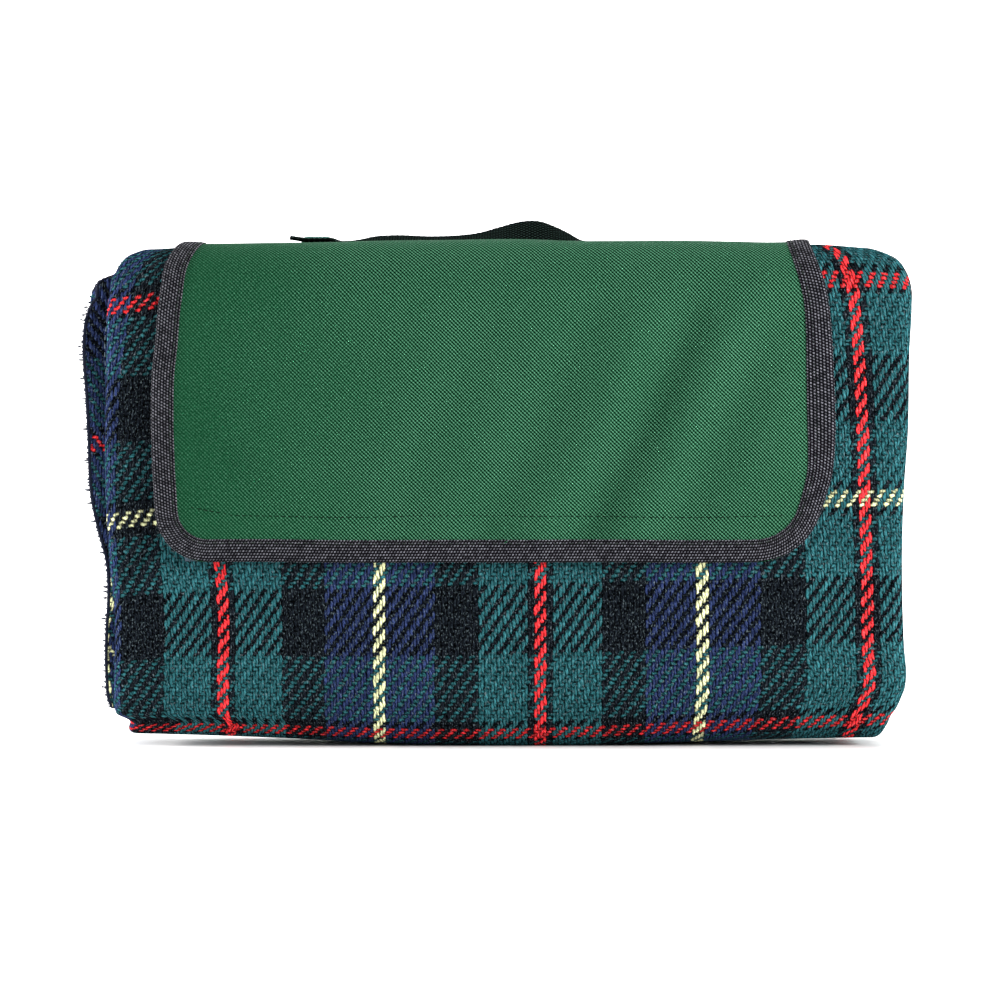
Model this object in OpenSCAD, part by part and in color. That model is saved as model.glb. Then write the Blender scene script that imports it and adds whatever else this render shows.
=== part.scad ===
// Folded camp blanket with a wrap-over cover, hook-and-loop closure and a webbing handle.
// Frame: +X to the right, -Y to the front, +Z up; origin under the middle of the bounding box.

/* [Blanket] */
// Width of the folded blanket, left to right
bundle_w = 332; // [300:1:360]
// Depth of the folded blanket, front to back
bundle_d = 82; // [76:1:92]
// Height of the folded blanket under its cover
bundle_h = 199; // [180:1:220]
// Air between neighbouring leaves
leaf_gap = 0.25; // [0.15:0.05:0.4]

/* [Cover] */
// Width of the front flap
flap_w = 271; // [262:1:290]
// Width of the cover where it crosses the top
cover_top_w = 252; // [225:1:260]
// Height of the flap's lower edge above the ground
flap_bottom = 74; // [60:1:90]
// Radius of the flap's lower corners
flap_corner_r = 19; // [12:1:28]
// Height of the part sewn to the back of the blanket
back_h = 52; // [40:1:80]
// Width of the edge binding
binding_w = 8; // [6:0.5:10]

/* [Tapes] */
// Height of the hook tape and of the loop tape
tape_h = 16; // [14:1:20]
// Length of the hook tape inside the flap
hook_len = 242; // [220:1:248]
// Length of the loop tape on the blanket
loop_len = 230; // [210:1:248]

/* [Handle] */
// Width of the webbing, front to back
web_w = 25; // [20:1:30]
// Thickness of the webbing
web_t = 1.3; // [1:0.1:1.6]
// Height of the webbing's hump above the cover
hump_h = 10.5; // [7:0.5:12]

/* [Hidden] */
$fn = 64;

// Blanket: eight leaves of four plies each, and each ply is face cloth, foam and film.
leaf_pitch = bundle_d / 8;
leaf_t = leaf_pitch - leaf_gap;
half_t = leaf_t / 2;
ply_t = leaf_t / 4;
face_t = 0.36 * ply_t;
film_t = 0.08 * ply_t;
face_y = bundle_d / 2 - leaf_gap / 2;
overlock_t = 0.8;
overlock_clear = 0.05;
right_x = bundle_w / 2 - half_t;
left_x = -bundle_w / 2 + ply_t;
free_x = left_x - ply_t + overlock_t;
bottom_slack = 1.5;
bottom_r = 2 * leaf_pitch + bottom_slack;
corner_y = face_y - bottom_r;
nest_z = 4 * leaf_pitch;
crest_r = 2 * leaf_pitch - leaf_gap / 2;
crest_z = bundle_h - crest_r;
// How far below the blanket's crest the rear folds and the two free ends stop
rear_drop = 14;
free_drop = [9, 12];
rear_top_z = bundle_h - rear_drop;
free_end_z = [bundle_h - free_drop[0], bundle_h - free_drop[1]];

// Cover: offsets count outwards from the inner side of its binding.
binding_t = 0.5;
lining_t = 0.4;
shell_t = 0.6;
lining_n = binding_t;
shell_n = lining_n + lining_t;
outer_n = shell_n + shell_t;
cover_n = outer_n + binding_t;
thread_t = 0.15;
thread_w = 0.6;
loop_t = 1.3;
hook_t = 1.4;
tape_gap = 0.4;
front_n = loop_t + tape_gap + hook_t - binding_t;
top_gap = 0.4;
front_slack = 2.125;
front_r = crest_r + front_slack;
front_cy = -face_y - front_n + front_r;
front_cz = bundle_h + top_gap - front_r;
back_r = 10;
back_cy = face_y - back_r;
back_cz = bundle_h + top_gap - back_r;
back_bottom = back_cz - back_h;
// Half the angle left open where the cover bends at a hinge line
front_split = 1.5;
back_split = 3;
front_face = -face_y - front_n;
taper_start = 56;
taper_z = flap_bottom + taper_start;
bundle_y = (front_n + thread_t) / 2;

// Tapes
hook_rise = 12.3;
loop_show = 0.6;
tape_z = flap_bottom + binding_w + hook_rise - tape_h;
loop_z = flap_bottom - loop_show;
stitch_in = 2;
tape_left = -124;
edge_stitch_in = 1.5;
seam_rows = [1, 7];

// Handle
web_y = 4;
web_z = bundle_h + top_gap + outer_n;
end_len = 21.6;
end_x = [-83.6, 50];
web_gap = 0.4;
hump_x = 13;
hump_half = 22;

cloth = [0.09, 0.27, 0.28];
foam = [0.85, 0.85, 0.82];
film = [0.62, 0.64, 0.66];
green = [0.15, 0.37, 0.25];
lining_green = [0.10, 0.24, 0.17];
charcoal = [0.19, 0.20, 0.22];
tape_grey = [0.30, 0.36, 0.42];
webbing = [0.06, 0.11, 0.09];
thread = [0.08, 0.12, 0.10];

// ---- the folded blanket ----

function leaf_y(i) = (i - 4.5) * leaf_pitch;

// A leaf's cross-section: x is the offset through its thickness, y runs to the right along it.
// Its positive side holds the fold at the left edge, and its negative side the free edges.
module bar(v0, v1, left) {
    translate([v0, left]) square([v1 - v0, right_x - left]);
}

module half_ring(v, u, r_out, r_in, side) {
    translate([v, u]) intersection() {
        difference() {
            circle(r_out);
            if (r_in > 0) circle(r_in);
        }
        translate([-r_out, side > 0 ? 0 : -r_out]) square([2 * r_out, r_out]);
    }
}

// A layer is the part of each ply between the depths d0 and d1, counted from its face side.
module layer_section(d0, d1) {
    bar(half_t - d1, half_t - d0, left_x);
    bar(-half_t + d0, -half_t + d1, free_x);
    bar(d0, d1, left_x);
    bar(-d1, -d0, free_x);
    half_ring(0, right_x, half_t - d0, half_t - d1, 1);
    half_ring(0, right_x, d1, d0, 1);
    half_ring(ply_t, left_x, ply_t - d0, ply_t - d1, -1);
}

module leaf_wall(i, z0, z1) {
    turn = i % 2 == 1 ? -90 : 90;
    translate([0, leaf_y(i), z0]) rotate([0, 0, turn]) mirror([0, i % 2 == 1 ? 0 : 1, 0])
        linear_extrude(z1 - z0) children();
}

module leaf_turn(cy, cz, r, from, sweep, fold_outside) {
    translate([0, cy, cz]) rotate([90, 0, 90]) rotate([0, 0, from]) rotate_extrude(angle = sweep)
        translate([r, 0]) mirror([fold_outside ? 0 : 1, 0]) children();
}

module leaf_floor(z, fold_down) {
    translate([0, -corner_y, z]) multmatrix([[0, 1, 0, 0], [0, 0, 1, 0], [1, 0, 0, 0]])
        mirror([fold_down ? 1 : 0, 0, 0]) linear_extrude(2 * corner_y) children();
}

// The whole strip of leaves: each wall, and the folds that join them.
module folded_strip() {
    for (i = [1, 2]) leaf_wall(i, bottom_r, crest_z) children();
    for (i = [3, 4]) leaf_wall(i, nest_z, crest_z) children();
    for (i = [5, 6]) leaf_wall(i, nest_z, rear_top_z) children();
    for (i = [7, 8]) leaf_wall(i, bottom_r, free_end_z[i - 7]) children();
    for (k = [0, 1]) {
        outer_fold_r = bottom_r - half_t - k * leaf_pitch;
        leaf_turn(-corner_y, bottom_r, outer_fold_r, 180, 90, k == 0) children();
        leaf_turn(corner_y, bottom_r, outer_fold_r, 270, 90, k == 0) children();
        leaf_floor(half_t + k * leaf_pitch, k == 0) children();
        leaf_turn(0, nest_z, leaf_pitch * (1.5 - k), 180, 180, k == 0) children();
        leaf_turn(-2 * leaf_pitch, crest_z, leaf_pitch * (1.5 - k), 0, 180, k == 0) children();
    }
    leaf_turn(leaf_pitch, rear_top_z, leaf_pitch / 2, 0, 180, true) children();
}

module tartan_face_cloth() {
    color(cloth) placed() folded_strip() layer_section(0, face_t);
}

module foam_interlining() {
    color(foam) placed() folded_strip() layer_section(face_t, ply_t - film_t);
}

module waterproof_backing() {
    color(film) placed() folded_strip() layer_section(ply_t - film_t, ply_t);
}

// The overlocked free edges: along the left of every leaf, and across the two free ends.
module edge_overlock() {
    color(thread) placed() {
        folded_strip() for (k = [1, 2])
            translate([-k * ply_t + overlock_clear, free_x - overlock_t])
                square([ply_t - 2 * overlock_clear, overlock_t]);
        for (i = [7, 8])
            translate([left_x, leaf_y(i) - half_t, free_end_z[i - 7]])
                cube([right_x - left_x, leaf_t, overlock_t]);
    }
}

// ---- the cover ----

module placed() {
    translate([0, bundle_y, 0]) children();
}

// An arc starts where it meets a straight band, and sweeps towards the line where the cover bends.
module arc_band(cy, cz, r, n0, n1, x0, x1, from, sweep) {
    translate([0, cy, cz]) rotate([90, 0, 90]) rotate([0, 0, from]) rotate_extrude(angle = sweep)
        translate([r + n0, x0]) square([n1 - n0, x1 - x0]);
}

module front_arc(x0, x1, n0, n1) {
    arc_band(front_cy, front_cz, front_r, n0, n1, x0, x1, 180, front_split - 45);
}

module top_band(x0, x1, n0, n1) {
    arc_band(front_cy, front_cz, front_r, n0, n1, x0, x1, 90, 45 - front_split);
    translate([x0, front_cy, bundle_h + top_gap + n0]) cube([x1 - x0, back_cy - front_cy, n1 - n0]);
    arc_band(back_cy, back_cz, back_r, n0, n1, x0, x1, 90, back_split - 45);
}

module back_band(x0, x1, n0, n1, bottom = back_bottom) {
    arc_band(back_cy, back_cz, back_r, n0, n1, x0, x1, 0, 45 - back_split);
    translate([x0, face_y + n0, bottom]) cube([x1 - x0, n1 - n0, back_cz - bottom]);
}

// Outline of the flap's flat part, set in by a margin.
function corner(cx, cz, r, from, to) =
    [for (k = [0:6]) let (a = from + (to - from) * k / 6) [cx + r * cos(a), cz + r * sin(a)]];

function flap_outline(inset) = let (
    r = flap_corner_r - inset,
    cx = flap_w / 2 - flap_corner_r,
    cz = flap_bottom + flap_corner_r,
    half = [for (k = [0:6]) let (t = k / 6)
        [flap_w / 2 - inset - t * t * (flap_w - cover_top_w) / 2, taper_z + t * (front_cz - taper_z)]]
) concat(
    corner(-cx, cz, r, 180, 270),
    corner(cx, cz, r, 270, 360),
    half,
    [for (k = [6:-1:0]) [-half[k][0], half[k][1]]]
);

module flap_plate(inset, n0, n1) {
    translate([0, front_face - n0, 0]) rotate([90, 0, 0]) linear_extrude(n1 - n0)
        polygon(flap_outline(inset));
}

module flap_ring(out, inside, n0, n1) {
    difference() {
        flap_plate(out, n0, n1);
        flap_plate(inside, n0 - 1, n1 + 1);
    }
}

module cover_front() {
    color(green) placed() {
        flap_plate(binding_t, shell_n, outer_n);
        front_arc(-cover_top_w / 2 + binding_t, cover_top_w / 2 - binding_t, shell_n, outer_n);
    }
}

module lining_front() {
    color(lining_green) placed() {
        flap_plate(binding_t, lining_n, shell_n);
        front_arc(-cover_top_w / 2 + binding_t, cover_top_w / 2 - binding_t, lining_n, shell_n);
    }
}

// The binding folds round the edge: a leg on each side and a rim that joins them.
module binding_run(side) {
    edge = side * cover_top_w / 2;
    inner = edge - side * binding_w;
    rim = edge - side * binding_t;
    $x0 = min(edge, inner);
    $x1 = max(edge, inner);
    $rim0 = min(edge, rim);
    $rim1 = max(edge, rim);
    children();
}

module binding_front() {
    color(charcoal) placed() {
        flap_ring(0, binding_w, 0, binding_t);
        flap_ring(0, binding_w, outer_n, cover_n);
        flap_ring(0, binding_t, 0, cover_n);
        for (side = [-1, 1]) binding_run(side) {
            front_arc($x0, $x1, 0, binding_t);
            front_arc($x0, $x1, outer_n, cover_n);
            front_arc($rim0, $rim1, 0, cover_n);
        }
    }
}

module binding_top(side) {
    color(charcoal) placed() binding_run(side) {
        top_band($x0, $x1, 0, binding_t);
        top_band($x0, $x1, outer_n, cover_n);
        top_band($rim0, $rim1, 0, cover_n);
    }
}

module binding_top_left() {
    binding_top(-1);
}

module binding_top_right() {
    binding_top(1);
}

module binding_back() {
    half = cover_top_w / 2;
    color(charcoal) placed() {
        for (side = [-1, 1]) binding_run(side) {
            back_band($x0, $x1, 0, binding_t);
            back_band($x0, $x1, outer_n, cover_n);
            back_band($rim0, $rim1, 0, cover_n);
        }
        for (n = [0, outer_n]) translate([-half, face_y + n, back_bottom])
            cube([2 * half, binding_t, binding_w]);
        translate([-half, face_y, back_bottom]) cube([2 * half, cover_n, binding_t]);
    }
}

module cover_top() {
    color(green) placed()
        top_band(-cover_top_w / 2 + binding_t, cover_top_w / 2 - binding_t, shell_n, outer_n);
}

module lining_top() {
    color(lining_green) placed()
        top_band(-cover_top_w / 2 + binding_t, cover_top_w / 2 - binding_t, lining_n, shell_n);
}

module cover_back() {
    half = cover_top_w / 2 - binding_t;
    color(green) placed() back_band(-half, half, shell_n, outer_n, back_bottom + binding_t);
}

module lining_back() {
    half = cover_top_w / 2 - binding_t;
    color(lining_green) placed() back_band(-half, half, lining_n, shell_n, back_bottom + binding_t);
}

// ---- stitching ----

module cover_seam_stitching() {
    half = cover_top_w / 2 - binding_w;
    color(thread) placed() for (row = seam_rows)
        translate([-half, face_y + outer_n, back_bottom + binding_w + row])
            cube([2 * half, thread_t, thread_w]);
}

module binding_stitching() {
    inset = binding_w - edge_stitch_in;
    color(thread) placed() flap_ring(inset, inset + thread_w, cover_n, cover_n + thread_t);
}

module hook_tape_stitching() {
    color(thread) placed()
        translate([tape_left, front_face - outer_n - thread_t, tape_z + tape_h - stitch_in])
            cube([hook_len, thread_t, thread_w]);
}

module tape_frame(z, depth) {
    translate([tape_left + stitch_in, 0, z + stitch_in]) difference() {
        cube([loop_len - 2 * stitch_in, depth, tape_h - 2 * stitch_in]);
        translate([thread_w, -1, thread_w])
            cube([loop_len - 2 * (stitch_in + thread_w), depth + 2, tape_h - 2 * (stitch_in + thread_w)]);
    }
}

module loop_tape_stitching() {
    color(thread) placed() translate([0, -face_y - loop_t, 0]) tape_frame(loop_z, thread_t);
}

// ---- the hook and loop tapes ----

module loop_tape() {
    color(tape_grey) placed() translate([0, -face_y - loop_t, 0]) difference() {
        translate([tape_left, 0, loop_z]) cube([loop_len, loop_t, tape_h]);
        tape_frame(loop_z, thread_t);
    }
}

// The hook tape's lower margin lies over the binding's inner leg.
module hook_tape() {
    color(webbing) placed() difference() {
        translate([tape_left, front_face - lining_n, tape_z]) cube([hook_len, hook_t, tape_h]);
        flap_ring(0, binding_w, 0, cover_n);
    }
}

// ---- the handle ----

function hump(x) = abs(x - hump_x) < hump_half ? hump_h * (1 + cos(180 * (x - hump_x) / hump_half)) / 2 : 0;

module handle_end(k) {
    color(webbing) placed()
        translate([end_x[k], web_y - web_w / 2, web_z]) cube([end_len, web_w, web_t]);
}

module handle_end_left() {
    handle_end(0);
}

module handle_end_right() {
    handle_end(1);
}

// Box stitch with a cross in it, which holds a webbing end to the cover.
module box_stitch(k) {
    margin = 3;
    len = end_len - 2 * margin;
    wide = web_w - 2 * margin;
    diagonal = sqrt(len * len + wide * wide);
    tilt = atan2(wide, len);
    color(thread) placed() translate([end_x[k] + end_len / 2, web_y, web_z + web_t]) {
        difference() {
            translate([-len / 2, -wide / 2, 0]) cube([len, wide, thread_t]);
            translate([-len / 2 + thread_w, -wide / 2 + thread_w, -1])
                cube([len - 2 * thread_w, wide - 2 * thread_w, thread_t + 2]);
        }
        for (a = [-tilt, tilt]) rotate([0, 0, a])
            translate([-diagonal / 2 + thread_w, -thread_w / 2, 0])
                cube([diagonal - 2 * thread_w, thread_w, thread_t]);
    }
}

module handle_stitching_left() {
    box_stitch(0);
}

module handle_stitching_right() {
    box_stitch(1);
}

// The free webbing lies along the cover and rises in one hump.
module handle_webbing() {
    x0 = end_x[0] + end_len + web_gap;
    x1 = end_x[1] - web_gap;
    xs = concat([x0], [for (k = [-8:8]) hump_x + k * hump_half / 8], [x1]);
    low = [for (x = xs) [x, web_z + web_gap + hump(x)]];
    high = [for (k = [len(xs) - 1:-1:0]) low[k] + [0, web_t]];
    color(webbing) placed() translate([0, web_y + web_w / 2, 0]) rotate([90, 0, 0])
        linear_extrude(web_w) polygon(concat(low, high));
}

tartan_face_cloth();
foam_interlining();
waterproof_backing();
edge_overlock();
loop_tape();
loop_tape_stitching();
cover_back();
lining_back();
binding_back();
cover_seam_stitching();
cover_top();
lining_top();
binding_top_left();
binding_top_right();
handle_end_left();
handle_end_right();
handle_stitching_left();
handle_stitching_right();
cover_front();
lining_front();
binding_front();
binding_stitching();
hook_tape();
hook_tape_stitching();
handle_webbing();
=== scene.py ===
"""Folded camp blanket: tartan cloth on foam and film, with a green wrap-over cover and a webbing handle.

Everything is built in millimetres in the row's frame, and goes into Blender in metres.
"""

import math
import random

import bpy
import numpy as np
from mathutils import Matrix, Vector


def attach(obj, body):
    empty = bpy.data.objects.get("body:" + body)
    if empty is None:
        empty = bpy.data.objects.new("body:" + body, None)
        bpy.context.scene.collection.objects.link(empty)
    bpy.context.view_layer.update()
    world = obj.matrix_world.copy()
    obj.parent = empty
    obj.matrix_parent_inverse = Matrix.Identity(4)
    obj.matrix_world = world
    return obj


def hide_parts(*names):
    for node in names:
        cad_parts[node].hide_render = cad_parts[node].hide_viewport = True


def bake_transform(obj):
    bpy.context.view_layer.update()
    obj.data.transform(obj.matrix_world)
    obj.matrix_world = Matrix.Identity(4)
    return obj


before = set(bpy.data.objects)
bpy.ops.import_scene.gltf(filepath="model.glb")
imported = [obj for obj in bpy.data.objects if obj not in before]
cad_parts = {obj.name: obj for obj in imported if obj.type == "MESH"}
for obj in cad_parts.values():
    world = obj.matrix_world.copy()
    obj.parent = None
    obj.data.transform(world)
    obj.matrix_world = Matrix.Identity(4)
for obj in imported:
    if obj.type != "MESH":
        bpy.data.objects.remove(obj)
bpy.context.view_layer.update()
random.seed(7)

# ---- sizes of the CAD model, in millimetres ----

BUNDLE_Y = 1.375
PITCH = 10.25
HALF_T = 5.0
PLY_T = 2.5
FACE_T = 0.9
FILM_T = 0.2
FACE_Y = 40.875
RIGHT_X = 161.0
LEFT_X = -163.5
BOTTOM_R = 22.0
CORNER_Y = 18.875
NEST_Z = 41.0
CREST_Z = 178.625
REAR_TOP_Z = 185.0
FREE_Z7 = 190.0
FREE_Z8 = 187.0

FRONT_FACE = -43.475
FRONT_CY = -20.975
FRONT_CZ = 176.9
FRONT_R = 22.5
TOP_Z = 199.4
BACK_CY = 30.875
BACK_CZ = 189.4
BACK_R = 10.0
BACK_BOTTOM = 137.4
FLAP_BOTTOM = 74.0

HALF_WIDE = 166
PLY_GAP = 0.06
EDGE_TRIM = 2.6


# ---- small tools ----

def smooth(t):
    t = np.clip(t, 0.0, 1.0)
    return t * t * (3 - 2 * t)


def through(x, points):
    """A smooth curve through (x, value) points, flat at each end."""
    xs = [p[0] for p in points]
    ys = np.array([p[1] for p in points], float)
    slopes = np.gradient(ys, xs)
    slopes[0] = 0
    slopes[-1] = 0
    x = np.clip(x, xs[0], xs[-1])
    k = np.clip(np.searchsorted(xs, x, side="right") - 1, 0, len(xs) - 2)
    xs = np.array(xs, float)
    h = xs[k + 1] - xs[k]
    t = (x - xs[k]) / h
    a = ys[k] * (2 * t**3 - 3 * t**2 + 1) + slopes[k] * h * (t**3 - 2 * t**2 + t)
    return a + ys[k + 1] * (3 * t**2 - 2 * t**3) + slopes[k + 1] * h * (t**3 - t**2)


def ripple(x, y, seed):
    """Smooth uneven waves between about -1 and 1, for x and y in wavelengths."""
    waves = [(1.0, 0.6, 0.4), (0.7, -1.1, 0.3), (1.7, 0.9, 0.2), (-0.4, 1.9, 0.1)]
    total = 0
    for k, (fx, fy, weight) in enumerate(waves):
        total = total + weight * np.sin(2 * math.pi * (fx * x + fy * y) + seed * (k + 1.7))
    return total


def points(x, y, z=0.0):
    """Points, or marks on the cloth, from their coordinates; each is a number or an array."""
    return np.stack(np.broadcast_arrays(x, y, z), -1)


def run_length(line):
    """The length from the first point of a line, or of each row of a grid, to every point of it."""
    steps = np.linalg.norm(np.diff(line, axis=-2), axis=-1)
    return np.concatenate([np.zeros((*steps.shape[:-1], 1)), np.cumsum(steps, axis=-1)], axis=-1)


class Line:
    """A line in the YZ plane, made of straights and arcs; its left side is its outer side."""

    def __init__(self):
        self.y = []
        self.z = []
        self.turn = []
        self.length = []
        self.marks = {}

    def add(self, y, z, turn):
        step = math.hypot(y - self.y[-1], z - self.z[-1]) if self.y else 0.0
        self.length.append(self.length[-1] + step if self.length else 0.0)
        self.y.append(y)
        self.z.append(z)
        self.turn.append(turn)

    def mark(self, name):
        self.marks[name] = self.length[-1]
        return self

    def straight(self, y0, z0, y1, z1):
        turn = math.atan2(y0 - y1, z1 - z0)
        turn = turn + 2 * math.pi * round(((self.turn[-1] if self.turn else turn) - turn) / (2 * math.pi))
        count = max(2, int(math.hypot(y1 - y0, z1 - z0) / 2))
        for k in range(count + 1):
            t = k / count
            self.add(y0 + t * (y1 - y0), z0 + t * (z1 - z0), turn)
        return self

    def arc(self, cy, cz, r, a0, a1):
        """From angle a0 to a1 in degrees; a clockwise arc has its outer side away from the centre."""
        start = self.turn[-1] if self.turn else 0.0
        for k in range(25):
            a = math.radians(a0 + (a1 - a0) * k / 24)
            self.add(cy + r * math.cos(a), cz + r * math.sin(a), start + math.radians(a1 - a0) * k / 24)
        return self

    def at(self, s):
        """Centre and outward direction at lengths s."""
        y = np.interp(s, self.length, self.y)
        z = np.interp(s, self.length, self.z)
        turn = np.interp(s, self.length, self.turn)
        return y, z, -np.cos(turn), -np.sin(turn)

    def point(self, s, out):
        y, z, ny, nz = self.at(s)
        return y + out * ny, z + out * nz

    def samples(self, a, b, step, tight):
        """Lengths from a to b: every step on the straights, and every tight degrees on the arcs."""
        grid = np.linspace(a, b, 3000)
        turn = np.interp(grid, self.length, self.turn)
        cost = np.abs(np.diff(grid)) / step + np.abs(np.diff(turn)) / math.radians(tight)
        total = np.concatenate([[0], np.cumsum(cost)])
        return np.interp(np.linspace(0, total[-1], max(2, int(total[-1]) + 1)), total, grid)


# ---- mesh making ----

def add_object(name, data):
    obj = bpy.data.objects.new(name, data)
    bpy.context.scene.collection.objects.link(obj)
    return obj


def finish_mesh(name, verts, faces, cloth, material):
    mesh = bpy.data.meshes.new(name)
    mesh.from_pydata([tuple(v) for v in verts * 0.001], [], faces)
    mesh.validate()
    mesh.update()
    layer = mesh.attributes.new("cloth", "FLOAT_VECTOR", "POINT")
    layer.data.foreach_set("vector", np.asarray(cloth, np.float32).ravel())
    mesh.polygons.foreach_set("use_smooth", [True] * len(mesh.polygons))
    obj = add_object(name, mesh)
    obj.data.materials.append(material)
    return obj


def grid_faces(rows, cols, start, flip=False, wrap=False):
    faces = []
    for i in range(rows - 1):
        for j in range(cols if wrap else cols - 1):
            a = start + i * cols + j
            b = start + i * cols + (j + 1) % cols
            face = (a, b, b + cols, a + cols)
            faces.append(face[::-1] if flip else face)
    return faces


def slab_faces(rows, cols):
    """Faces of a closed sheet between two grids of points, one grid's points after the other's."""
    other = rows * cols
    faces = grid_faces(rows, cols, 0) + grid_faces(rows, cols, other, flip=True)
    border = [(0, j) for j in range(cols)] + [(i, cols - 1) for i in range(1, rows)]
    border += [(rows - 1, j) for j in range(cols - 2, -1, -1)] + [(i, 0) for i in range(rows - 2, 0, -1)]
    ring = [i * cols + j for i, j in border]
    for a, b in zip(ring, ring[1:] + ring[:1]):
        faces.append((b, a, other + a, other + b))
    return faces


def volume(verts, faces):
    """The signed volume inside closed quads; less than nothing when they face inwards."""
    a, b, c, d = (verts[np.array(faces)[:, k]] for k in range(4))
    return np.sum(a * (np.cross(b, c) + np.cross(c, d))) / 6


def slabs(name, sheets, material):
    """One object from several closed sheets, each (outer, inner, cloth)."""
    verts = []
    faces = []
    cloth = []
    start = 0
    for outer, inner, marks in sheets:
        both = np.concatenate([outer.reshape(-1, 3), inner.reshape(-1, 3)])
        parts = slab_faces(*outer.shape[:2])
        if volume(both, parts) < 0:
            parts = [face[::-1] for face in parts]
        faces += [tuple(start + k for k in face) for face in parts]
        verts.append(both)
        cloth += [marks.reshape(-1, 3)] * 2
        start += len(both)
    return finish_mesh(name, np.concatenate(verts), faces, np.concatenate(cloth), material)


def tubes(name, lines, radius, material, sides=5):
    """One object of many short threads; a line is an array of points."""
    verts = []
    faces = []
    turns = np.linspace(0, 2 * math.pi, sides, endpoint=False)[None, :, None]
    start = 0
    for line in lines:
        along = np.gradient(line, axis=0)
        along /= np.linalg.norm(along, axis=1)[:, None] + 1e-9
        side = np.cross(along, (0.31, 0.52, 0.79))
        side /= np.linalg.norm(side, axis=1)[:, None]
        up = np.cross(side, along)
        thick = radius * np.array([0.55] + [1.0] * (len(line) - 2) + [0.55])
        ring = np.cos(turns) * side[:, None] + np.sin(turns) * up[:, None]
        verts.append((line[:, None] + thick[:, None, None] * ring).reshape(-1, 3))
        faces += grid_faces(len(line), sides, start, wrap=True)
        faces.append(tuple(start + k for k in range(sides))[::-1])
        start += len(line) * sides
        faces.append(tuple(start - sides + k for k in range(sides)))
    verts = np.concatenate(verts)
    return finish_mesh(name, verts, faces, 0 * verts, material)


def dashes(start, end, pitch, last, least=1):
    """Stitches along a straight run: for each one, its points' two coordinates."""
    count = max(least, int(math.dist(start, end) / pitch))
    for k in range(count):
        t = (k + np.array([0.1, 0.3, 0.5, 0.7, last])) / count
        yield [a + t * (b - a) for a, b in zip(start, end)]


# ---- the blanket's folded strip ----

def leaf_y(i):
    return (i - 4.5) * PITCH


def strip_line():
    """The middle of the strip of leaves, from the top of leaf 8 to the top of leaf 7."""
    line = Line()
    outer_r = BOTTOM_R - HALF_T
    inner_r = outer_r - PITCH
    line.straight(leaf_y(8), FREE_Z8, leaf_y(8), BOTTOM_R)
    line.arc(CORNER_Y, BOTTOM_R, outer_r, 0, -90)
    line.straight(CORNER_Y, HALF_T, 0, HALF_T).mark("floor")
    line.straight(0, HALF_T, -CORNER_Y, HALF_T)
    line.arc(-CORNER_Y, BOTTOM_R, outer_r, -90, -180).mark("leaf1")
    line.straight(leaf_y(1), BOTTOM_R, leaf_y(1), CREST_Z).mark("crest")
    line.arc(-2 * PITCH, CREST_Z, 1.5 * PITCH, 180, 0).mark("leaf4")
    line.straight(leaf_y(4), CREST_Z, leaf_y(4), 150).mark("inside")
    line.straight(leaf_y(4), 150, leaf_y(4), NEST_Z)
    line.arc(0, NEST_Z, PITCH / 2, 180, 360)
    line.straight(leaf_y(5), NEST_Z, leaf_y(5), REAR_TOP_Z)
    line.arc(PITCH, REAR_TOP_Z, PITCH / 2, 180, 0)
    line.straight(leaf_y(6), REAR_TOP_Z, leaf_y(6), NEST_Z)
    line.arc(0, NEST_Z, 1.5 * PITCH, 0, -180)
    line.straight(leaf_y(3), NEST_Z, leaf_y(3), CREST_Z)
    line.arc(-2 * PITCH, CREST_Z, PITCH / 2, 0, 180).mark("leaf2")
    line.straight(leaf_y(2), CREST_Z, leaf_y(2), BOTTOM_R)
    line.arc(-CORNER_Y, BOTTOM_R, inner_r, 180, 270)
    line.straight(-CORNER_Y, HALF_T + PITCH, CORNER_Y, HALF_T + PITCH)
    line.arc(CORNER_Y, BOTTOM_R, inner_r, 270, 360)
    line.straight(leaf_y(7), BOTTOM_R, leaf_y(7), FREE_Z7).mark("end")
    return line


STRIP = strip_line()
MARK = STRIP.marks


# ---- how the soft bundle settles: a smooth warp of the CAD's straight shape ----

# How far each edge of the bundle moves to the right, by height.
LEFT_FRONT = [(0, 16.5), (1.5, 16.8), (3, 17.6), (6, 18.6), (7, 16.8), (8.4, 14), (10, 13.4), (18, 13.2),
              (58, 13.2), (72, 11.6), (86, 10.6), (160, 10.4), (179, 11.2), (191, 14.4), (196, 18), (200, 24)]
LEFT_MIDDLE = [(0, 22), (7, 19), (8.6, 13), (10, 11), (13, 10), (24, 9), (45, 9), (60, 9.8), (75, 9),
               (83, 6.8), (99, 3.2), (123, 2), (139, 1.2), (165, 0.2), (171, 1), (174.8, 1.9), (176.4, 2.9),
               (178, 4.5), (182, 5.4), (185.6, 5.9), (187, 7.9), (187.8, 11.5), (188.6, 14.4), (191, 15),
               (196, 18), (200, 24)]
LEFT_REAR = [(0, 22), (7, 17.4), (12, 15), (22, 13), (60, 12), (80, 8), (100, 4), (170, 3), (181, 3.2),
             (184, 4.4), (187, 8), (190, 14), (196, 22), (200, 26)]
RIGHT_ALL = [(0, -9.5), (2.4, -9.5), (6.1, -8.4), (9.5, -8), (12.4, -6.5), (17, -4.8), (21.6, -3.2),
             (25, -2.8), (40, -3.6), (107, -3.4), (123, -2.2), (160, -1.4), (176, -0.6), (184, -0.8),
             (191, -3.2), (195, -6), (199, -12.4), (203, -18)]
# What is added to that at the right for each leaf, from the front to the rear.
LEAF_SHIFT = [0, -1.5, -0.5, -2.4, -0.9, -1.9, -0.4, 0]
# How far the bundle's underside stands off the floor along its length.
LIFT = [(-166, 4.6), (-143, 4.2), (-119, 3.6), (-87, 2.7), (-55, 1.2), (-25, 0.1), (30, 0), (73, 1.2),
        (105, 2), (140, 2.7), (166, 3)]


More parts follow.
